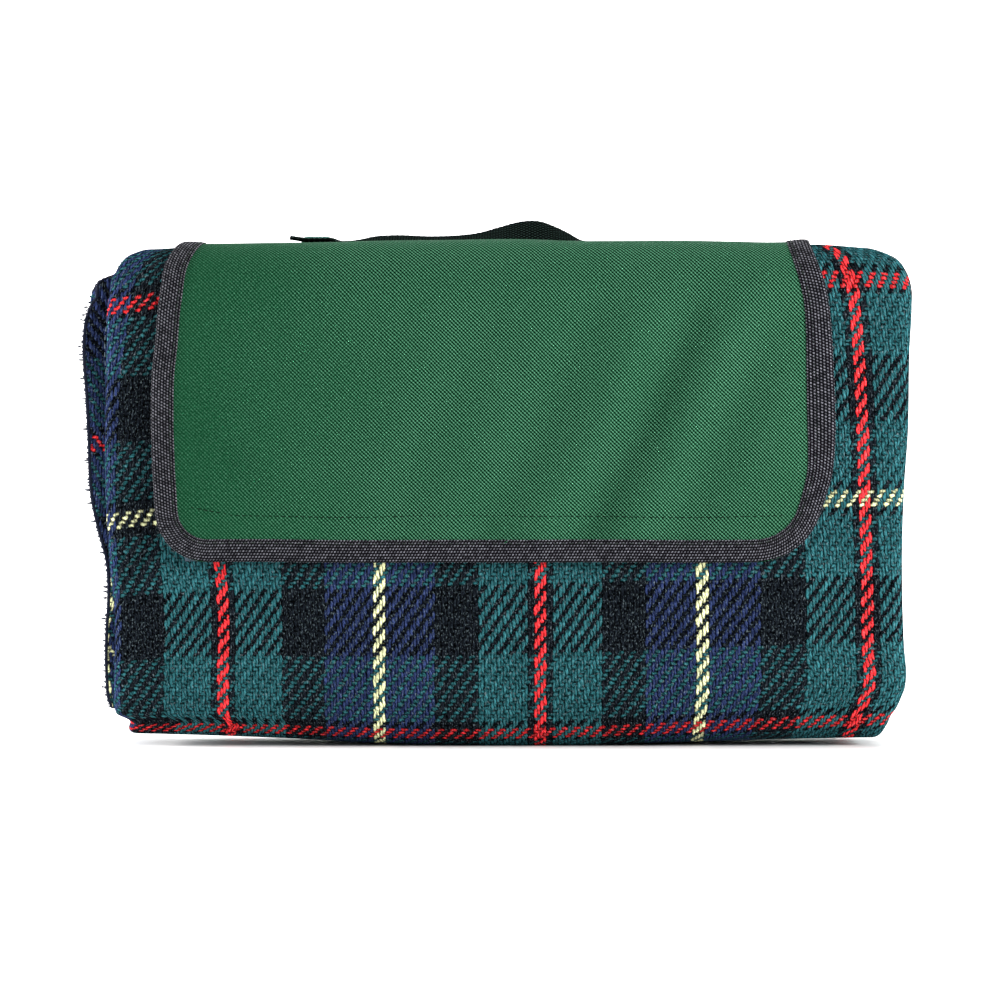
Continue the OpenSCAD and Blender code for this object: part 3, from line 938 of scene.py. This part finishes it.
class Shade:
    """A material with a Principled shader, and short ways to make its nodes."""

    def __init__(self, name, roughness, specular, sheen=0.0):
        self.material = bpy.data.materials.new(name)
        self.material.use_nodes = True
        self.nodes = self.material.node_tree.nodes
        self.links = self.material.node_tree.links
        self.shader = self.nodes["Principled BSDF"]
        self.shader.inputs["Roughness"].default_value = roughness
        self.shader.inputs["Sheen Weight"].default_value = sheen
        self.shader.inputs["Sheen Roughness"].default_value = 0.45
        self.shader.inputs["Specular IOR Level"].default_value = specular

    def put(self, socket, value):
        if isinstance(value, Value):
            value = value.socket
        if isinstance(value, bpy.types.NodeSocket):
            self.links.new(value, socket)
        else:
            socket.default_value = value

    def node(self, kind, *values, **settings):
        """A new node, with its settings and its first inputs."""
        node = self.nodes.new("ShaderNode" + kind)
        for key, setting in settings.items():
            setattr(node, key, setting)
        for socket, value in zip(node.inputs, values):
            self.put(socket, value)
        return node

    def math(self, operation, *values):
        return Value(self, self.node("Math", *values, operation=operation).outputs[0])

    def cell(self, value):
        """The whole part and the fraction of a number."""
        return self.math("FLOOR", value), self.math("FRACT", value)

    def cloth(self):
        return self.node("Attribute", attribute_name="cloth").outputs["Vector"]

    def place(self):
        return self.node("TexCoord").outputs["Object"]

    def split(self, vector):
        outputs = self.node("SeparateXYZ", vector).outputs
        return Value(self, outputs[0]), Value(self, outputs[1])

    def join(self, x, y, z):
        return self.node("CombineXYZ", x, y, z).outputs[0]

    def noise(self, vector, scale, detail, rough=0.5):
        node = self.node("TexNoise", vector)
        node.inputs["Scale"].default_value = scale
        node.inputs["Detail"].default_value = detail
        node.inputs["Roughness"].default_value = rough
        return node.outputs["Fac"]

    def random(self, vector):
        return self.node("TexWhiteNoise", vector, noise_dimensions="3D").outputs["Value"]

    def range(self, value, low, high, a=0.0, b=1.0):
        """A number moved from the range a to b into the range low to high, and held there."""
        return Value(self, self.node("MapRange", value, a, b, low, high).outputs[0])

    def wave(self, vector, scale, low, high, detail=2.0):
        """Noise spread over all of low to high."""
        return self.range(self.noise(vector, scale, detail), low, high, 0.3, 0.7)

    def ramp(self, value, stops, interpolation="LINEAR"):
        """Colours blended between stops, each (position, colour)."""
        node = self.node("ValToRGB", value)
        ramp = node.color_ramp
        ramp.interpolation = interpolation
        ramp.elements.remove(ramp.elements[1])
        for k, (position, colour) in enumerate(stops):
            element = ramp.elements[0] if k == 0 else ramp.elements.new(position)
            element.position = position
            element.color = colour
        return node.outputs[0]

    def bands(self, position, length, stops):
        """Flat bands of colour: each stop is where it starts, from 0 to the length, and its colour."""
        shares = [(start / length, colour) for start, colour in stops]
        return self.ramp(position / float(length), shares, "CONSTANT")

    def mix(self, factor, a, b):
        node = self.node("Mix", factor, data_type="RGBA")
        self.put(node.inputs[6], a)
        self.put(node.inputs[7], b)
        return node.outputs[2]

    def pick(self, factor, a, b):
        """Number a where factor is 0, and b where it is 1."""
        return a * (1.0 - factor) + b * factor

    def times(self, colour, value):
        """A colour made lighter or darker by a number."""
        node = self.node("VectorMath", colour[:3] if isinstance(colour, tuple) else colour, operation="SCALE")
        self.put(node.inputs["Scale"], value)
        return node.outputs[0]

    def finish(self, colour, height, distance, strength):
        """Sets the colour, and bumps the surface by the height; returns the material."""
        self.put(self.shader.inputs["Base Color"], colour)
        bump = self.node("Bump")
        bump.inputs["Strength"].default_value = strength
        bump.inputs["Distance"].default_value = distance
        self.put(bump.inputs["Height"], height)
        self.links.new(bump.outputs[0], self.shader.inputs["Normal"])
        return self.material


TEAL = linear(34, 78, 83)
BLACK = linear(16, 20, 25)
NAVY = linear(31, 40, 70)
RED = linear(206, 44, 48)
YELLOW = linear(206, 208, 160)
FUZZ = linear(126, 142, 148)
OXFORD_MM = 1.52


def tartan_material():
    """Thick acrylic yarns in a 2/2 twill; its warp and weft have their own order of colours."""
    m = Shade("tartan", 0.95, 0.0)
    cloth = m.cloth()
    x, y = m.split(cloth)
    x = x + m.wave(cloth, 0.45, -0.26, 0.26) + m.wave(cloth, 1.7, -0.13, 0.13)
    turned = m.join(y, x, 3.7)
    y = y + m.wave(turned, 0.5, -0.22, 0.22) + m.wave(turned, 1.9, -0.12, 0.12)
    i, fx = m.cell(x)
    j, fy = m.cell(y)
    warp_run = (j - i + 1.0) % 4.0 + fy
    weft_run = (i - j - 2.0) % 4.0 + fx

    def yarn_height(run, across, rise):
        side = across * 2.0 - 1.0
        return m.math("COSINE", (run - 1.0) * (math.pi / 2)) * 0.42 + (1.0 - side * side) * 0.58 + rise

    over = yarn_height(warp_run, fx, 0.3)
    under = yarn_height(weft_run, fy, 0.0)
    warp_up = m.math("LESS_THAN", under, over)
    height = m.math("MAXIMUM", over, under)
    warp_colour = m.bands(m.math("PINGPONG", i + 0.5, float(WARP_REPEAT)), WARP_REPEAT,
                          [(0, RED), (2, BLACK), (4, TEAL), (20, BLACK), (34, NAVY), (50, YELLOW)])
    weft_colour = m.bands((j + 0.5) % float(WEFT_REPEAT), WEFT_REPEAT,
                          [(0, RED), (2, BLACK), (4, TEAL), (20, BLACK), (36, TEAL), (50, BLACK),
                           (52, YELLOW), (56, BLACK), (58, TEAL), (72, BLACK), (87, TEAL), (101, BLACK),
                           (102, RED)])
    colour = m.mix(warp_up, weft_colour, warp_colour)
    strands = m.join(m.pick(warp_up, x * 0.8, x * 2.2 + y), m.pick(warp_up, y * 2.6 + x, y * 0.8), warp_up)
    fibre = m.wave(strands, 1.0, 0.2, 1.8, 3)
    piece = m.random(m.join(m.pick(warp_up, m.math("FLOOR", weft_run / 2.0), i), j, warp_up))
    fleck = m.range(piece, 0.75, 1.25)
    worn = m.wave(cloth, 0.045, 0.86, 1.14, 3)
    # Painted shade: the gap after each pair of warp yarns is darkened.
    in_pair = m.math("ABSOLUTE", m.math("FRACT", x * 0.5) - 0.5)
    pair_gap_shade = m.range(in_pair, 1.0, 0.25, 0.34, 0.49)
    # Painted shade: each yarn darkens from its crown down into the gaps around it.
    depth = m.range(m.math("MAXIMUM", height, 0.0) ** 2.5, 0.01, 1.4) * pair_gap_shade
    # light is that painted shade times the cloth's own fibre, fleck and worn tone.
    light = depth * fibre * (fleck * worn)
    loose = m.range(m.noise(m.join(x * 1.6, y, 8.0), 1.5, 3), 0.0, 0.6, 0.57, 0.76)
    return m.finish(m.mix(loose, m.times(colour, light), FUZZ), height + fibre * 0.25, 0.0007, 0.9)


def oxford_material(name, deep, mid, bright):
    """A plain polyester weave; the light catches one of its diagonals more than the other."""
    m = Shade(name, 0.75, 0.015)
    cloth = m.cloth()
    x, y = m.split(cloth)
    x = x + m.wave(cloth, 0.12, -0.2, 0.2)
    turn = 2 * math.pi / OXFORD_MM
    first = m.math("SINE", (x + y) * turn)
    second = m.math("SINE", (x - y) * turn)
    # Painted highlight: the weave's lit diagonal is fainter towards the flap's left, where less light falls,
    # and a slow wave varies it a little.
    painted_glint_strength = m.range(x, 0.16, 0.56, -115, -25) * m.wave(cloth, 0.02, 0.75, 1.1)
    tone = first * painted_glint_strength + second * (painted_glint_strength * 0.5) + 0.5 + m.wave(cloth, 1.3, -0.13, 0.13)
    colour = m.ramp(tone, [(0.0, deep), (0.5, mid), (1.0, bright)])
    return m.finish(colour, first * 0.3 + second * 0.2, 0.0003, 0.6)


def tape_material(name, dark, light, pitch):
    """A coarse tape: offset rows of short raised floats on a dark ground, with a painted highlight on each
    float's top and painted shade between them.
    """
    m = Shade(name, 0.8, 0.04)
    cloth = m.cloth()
    x, y = m.split(cloth)
    row, fv = m.cell(y / (pitch * 0.92))
    column, fu = m.cell(x / pitch + (row % 2.0) * 0.5 + fv * 0.35)
    dome = m.math("SINE", fu * math.pi) * m.math("SINE", fv * math.pi)
    shine = m.range(m.random(m.join(column, row, 2.0)), 0.45, 1.25)
    # Painted highlight on each float's top, fading into painted shade between the floats; shine varies it
    # from float to float.
    tone = dome ** 2.2 * shine + m.wave(cloth, 2.2, -0.1, 0.1)
    return m.finish(m.ramp(tone, [(0.1, dark), (0.95, light)]), dome, 0.0003, 0.8)


def webbing_material():
    """Ribs in columns that are offset by half a rib, as the webbing's shape has them."""
    m = Shade("webbing", 0.9, 0.0)
    cloth = m.cloth()
    x, y = m.split(cloth)
    column, inside = m.cell((y + WEB_HALF) * (WEB_COLUMNS / 2 / WEB_HALF))
    rib = m.math("ABSOLUTE", m.math("SINE", (x / RIB_MM + (column % 2.0) * 0.5) * math.pi))
    # Painted shade: each rib is lighter on its top and darker into the grooves around it.
    tone = rib ** 2.0 * m.math("SINE", inside * math.pi) + m.wave(cloth, 1.8, -0.25, 0.25, 3)
    return m.finish(m.ramp(tone, [(0.45, linear(3, 6, 5)), (1.0, linear(44, 56, 52))]), tone, 0.0002, 0.5)


def fuzzy_material(name, colour, scale, roughness=0.95, depth=0.0004, sheen=0.0):
    """Short pile, foam or thread: a mottled colour with a rough surface."""
    m = Shade(name, roughness, 0.08, sheen)
    fine = m.noise(m.place(), scale, 4, 0.65)
    return m.finish(m.times(colour, m.range(fine, 0.55, 1.4, 0.25, 0.75)), fine, depth, 0.8)


def film_material():
    m = Shade("film", 0.42, 0.5)
    crease_and_painted_shade = m.noise(m.place(), 60, 5, 0.6)
    # The film is painted darker in its creases' hollows and lighter on their ridges: painted shade and
    # painted highlight.
    return m.finish(m.times(linear(150, 155, 160), m.range(crease_and_painted_shade, 0.85, 1.1)), crease_and_painted_shade, 0.0006, 0.5)


# ---- the object ----

tartan = tartan_material()
green = oxford_material("green_polyester", linear(0, 16, 5), linear(16, 62, 38), linear(72, 122, 95))
lining_green = oxford_material("lining", linear(10, 34, 22), linear(22, 54, 38), linear(40, 76, 58))
# The binding's light colour is the floats' painted highlight; its dark colour is the charcoal ground with
# painted shade.
charcoal = tape_material("binding", linear(5, 5, 9), linear(116, 116, 124), 1.25)
webbing = webbing_material()
thread = fuzzy_material("thread", linear(24, 34, 30), 2500, 0.8, 0.0001, 0.1)
pale_green_thread = fuzzy_material("box_thread", linear(70, 110, 100), 2500, 0.9, 0.0001)
dark_thread = fuzzy_material("dark_thread", linear(8, 26, 16), 2500, 0.9, 0.0001)
overlock_thread = fuzzy_material("overlock_thread", linear(26, 30, 44), 1400, 0.95, 0.0002)
pale_thread = fuzzy_material("pale_thread", linear(120, 136, 150), 1800, 0.9, 0.0001)
loop_pile = fuzzy_material("loop_tape", linear(58, 70, 80), 1500)
hook_pile = fuzzy_material("hook_tape", linear(34, 38, 38), 1300)
foam_white = fuzzy_material("foam", linear(226, 224, 214), 900)
silver_film = film_material()

blanket_pieces = build_blanket(tartan, foam_white, silver_film)
tartan_front, tartan_back, tartan_edges, tartan_core, foam, film = blanket_pieces
overlock = tubes("overlock", overlock_lines(), 0.24, overlock_thread, sides=4)
overlock_band = slabs("overlock_band", overlock_bands(), overlock_thread)
hem_stitches = tubes("hem_stitches", hem_lines(), 0.22, pale_thread, sides=4)
loop_tape = build_loop_tape(loop_pile)
loop_stitches = tubes("loop_stitches", loop_tape_stitches(), 0.18, thread)

cover_flap = cover_sheet("cover_flap", FRONT_ROWS, 1.5, 0.92, green)
lining_flap = cover_sheet("lining_flap", FRONT_ROWS, 0.9, 0.5, lining_green)
cover_rear = cover_sheet("cover_rear", REAR_ROWS, 1.5, 0.92, green)
lining_rear = cover_sheet("lining_rear", REAR_ROWS, 0.9, 0.5, lining_green)
flap_edge_line = flap_outline()
rear_edge_line = rear_outline()
binding_flap = binding("binding_flap", flap_edge_line, 1, charcoal)
binding_rear = binding("binding_rear", rear_edge_line, -1, charcoal)
edge_stitches = tubes("edge_stitches", stitch_lines(flap_edge_line, 1, 7.5, 1.95), 0.2, thread)
rear_stitches = tubes("rear_stitches", stitch_lines(rear_edge_line, -1, 7.5, 1.95), 0.2, thread)

hook_tape = build_hook_tape(hook_pile)
hook_x = np.linspace(-123, 116, 300)
hook_line = np.stack([hook_x, hook_seam(hook_x)], 1)
hook_stitches = tubes("hook_stitches", stitch_lines(hook_line, 1, 0, 1.5, 2.6, 2.5, 0.05), 0.2, dark_thread)
seam_lines = []
for row in (9, 15):
    seam = np.array([(x, COVER_MARK["end"] - row) for x in np.linspace(-117, 117, 200)])
    seam_lines += stitch_lines(seam, 1, 0, 1.52)
seam_stitches = tubes("seam_stitches", seam_lines, 0.2, thread)

handle_left, handle_right = build_handle(webbing)
left_layers = [(-79.0, -67.4, under_height), (-83.6, -61.8, tab_height)]
end_left = build_handle_end("handle_tab_left", left_layers, webbing)
end_right = build_handle_end("handle_tab_right", [(49.8, 71.6, flat_height)], webbing)
left_stitches = tubes("handle_stitches_left", box_stitches(-77.4, -68.4, tab_height), 0.28, pale_green_thread)
right_stitches = tubes("handle_stitches_right", box_stitches(54.2, 69.4, flat_height), 0.28, thread)

# ---- what each piece moves with and stands for ----

for piece in blanket_pieces:
    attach(piece, "root")
for piece in (overlock, overlock_band, hem_stitches, loop_tape, loop_stitches, seam_stitches):
    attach(piece, "root")
for piece in (hook_tape, hook_stitches):
    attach(piece, "flap_front")
for piece in (end_left, end_right, left_stitches, right_stitches):
    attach(piece, "flap_top")

for piece in (cover_flap, lining_flap, binding_flap, edge_stitches):
    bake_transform(piece)
for piece in (cover_rear, lining_rear, binding_rear, rear_stitches):
    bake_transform(piece)
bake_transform(handle_left)
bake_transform(handle_right)

STANDS_FOR = [
    (tartan_front, "tartan_face_cloth"),
    (foam, "foam_interlining"),
    (film, "waterproof_backing"),
    (overlock, "edge_overlock"),
    (loop_tape, "loop_tape"),
    (loop_stitches, "loop_tape_stitching"),
    (cover_flap, "cover_front", "cover_top"),
    (lining_flap, "lining_front", "lining_top"),
    (cover_rear, "cover_back"),
    (lining_rear, "lining_back"),
    (binding_flap, "binding_front", "binding_top_left", "binding_top_right"),
    (binding_rear, "binding_back"),
    (edge_stitches, "binding_stitching"),
    (seam_stitches, "cover_seam_stitching"),
    (hook_tape, "hook_tape"),
    (hook_stitches, "hook_tape_stitching"),
    (handle_left, "handle_webbing"),
    (end_left, "handle_end_left"),
    (end_right, "handle_end_right"),
    (left_stitches, "handle_stitching_left"),
    (right_stitches, "handle_stitching_right"),
]
for piece, *nodes in STANDS_FOR:
    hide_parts(*nodes)

SHEETS = [
    (tartan_front, (0.41, 0.26), "folded"),
    (tartan_back, (0.41, 0.21), "folded"),
    (tartan_edges, (0.14, 1.45), "folded"),
    (tartan_core, (1.10, 1.30), "folded"),
    (foam, (1.30, 1.50), "folded"),
    (film, (1.30, 1.50), "folded"),
    (loop_tape, (0.23, 0.016), "laid"),
    (hook_tape, (0.242, 0.016), "laid"),
    (cover_flap, (0.27, 0.165), "draped"),
    (lining_flap, (0.27, 0.165), "draped"),
    (cover_rear, (0.252, 0.094), "draped"),
    (lining_rear, (0.252, 0.094), "draped"),
    (binding_flap, (0.019, 0.57), "folded"),
    (binding_rear, (0.019, 0.43), "folded"),
]
for piece, flat, held in SHEETS:
    [] if piece == tartan_front else ["tartan_front"]

# ---- floor, light and camera ----

CAMERA_TARGET = Vector((0.0012, -0.0441, 0.0988))
CAMERA_DISTANCE = 2.204
CAMERA_TILT = math.radians(0.8)
BACKDROP_R = 1.2


def build_floor():
    """A pale floor that curves up into a backdrop far behind the object."""
    rows = [(-4.0, 0.0), (BACKDROP_R, 0.0)]
    for k in range(1, 17):
        a = math.pi / 2 * k / 16
        rows.append((BACKDROP_R * (1 + math.sin(a)), BACKDROP_R * (1 - math.cos(a))))
    rows.append((2 * BACKDROP_R, 5.0))
    verts = [(x, y, z) for y, z in rows for x in (-5.0, 5.0)]
    faces = [(2 * k, 2 * k + 1, 2 * k + 3, 2 * k + 2) for k in range(len(rows) - 1)]
    mesh = bpy.data.meshes.new("floor")
    mesh.from_pydata(verts, [], faces)
    mesh.polygons.foreach_set("use_smooth", [True] * len(faces))
    floor = add_object("floor", mesh)
    paper = Shade("paper", 0.9, 0.1)
    grain = paper.noise(paper.place(), 40, 2)
    colour = paper.times((0.97, 0.97, 0.97), paper.range(grain, 0.99, 1.0))
    paper.put(paper.shader.inputs["Base Color"], colour)
    floor.data.materials.append(paper.material)


def area_light(name, place, target, size, power):
    light = bpy.data.lights.new(name, "AREA")
    light.shape = "RECTANGLE"
    light.size, light.size_y = size
    light.energy = power
    obj = add_object(name, light)
    obj.location = place
    obj.rotation_euler = (Vector(target) - Vector(place)).to_track_quat("-Z", "Y").to_euler()


def build_studio():
    world = bpy.data.worlds.new("studio")
    world.use_nodes = True
    sky = world.node_tree.nodes["Background"]
    sky.inputs["Color"].default_value = (1, 1, 1, 1)
    sky.inputs["Strength"].default_value = 0.34
    bpy.context.scene.world = world
    middle = (0, 0, 0.1)
    area_light("key", (2.05, -1.05, 0.72), middle, (0.9, 0.9), 98)
    area_light("fill", (-1.4, -2.4, 0.9), middle, (1.2, 1.2), 4)
    area_light("rim", (-2.2, 0.1, 0.5), middle, (0.8, 0.8), 120)
    area_light("overhead", (0.1, -0.1, 2.0), (0, 0, 0), (2.2, 1.8), 10)
    area_light("backdrop", (0, 0.9, 1.8), (0, 2.4, 0.4), (3.0, 0.8), 90)
    bpy.context.scene.view_settings.view_transform = "Standard"
    lens = bpy.data.cameras.new("camera")
    lens.lens = 200
    lens.sensor_width = 36
    lens.clip_start = 0.05
    camera = add_object("camera", lens)
    back = Vector((0, -math.cos(CAMERA_TILT), math.sin(CAMERA_TILT)))
    camera.location = CAMERA_TARGET + back * CAMERA_DISTANCE
    camera.rotation_euler = (-back).to_track_quat("-Z", "Y").to_euler()
    bpy.context.scene.camera = camera


build_floor()
build_studio()
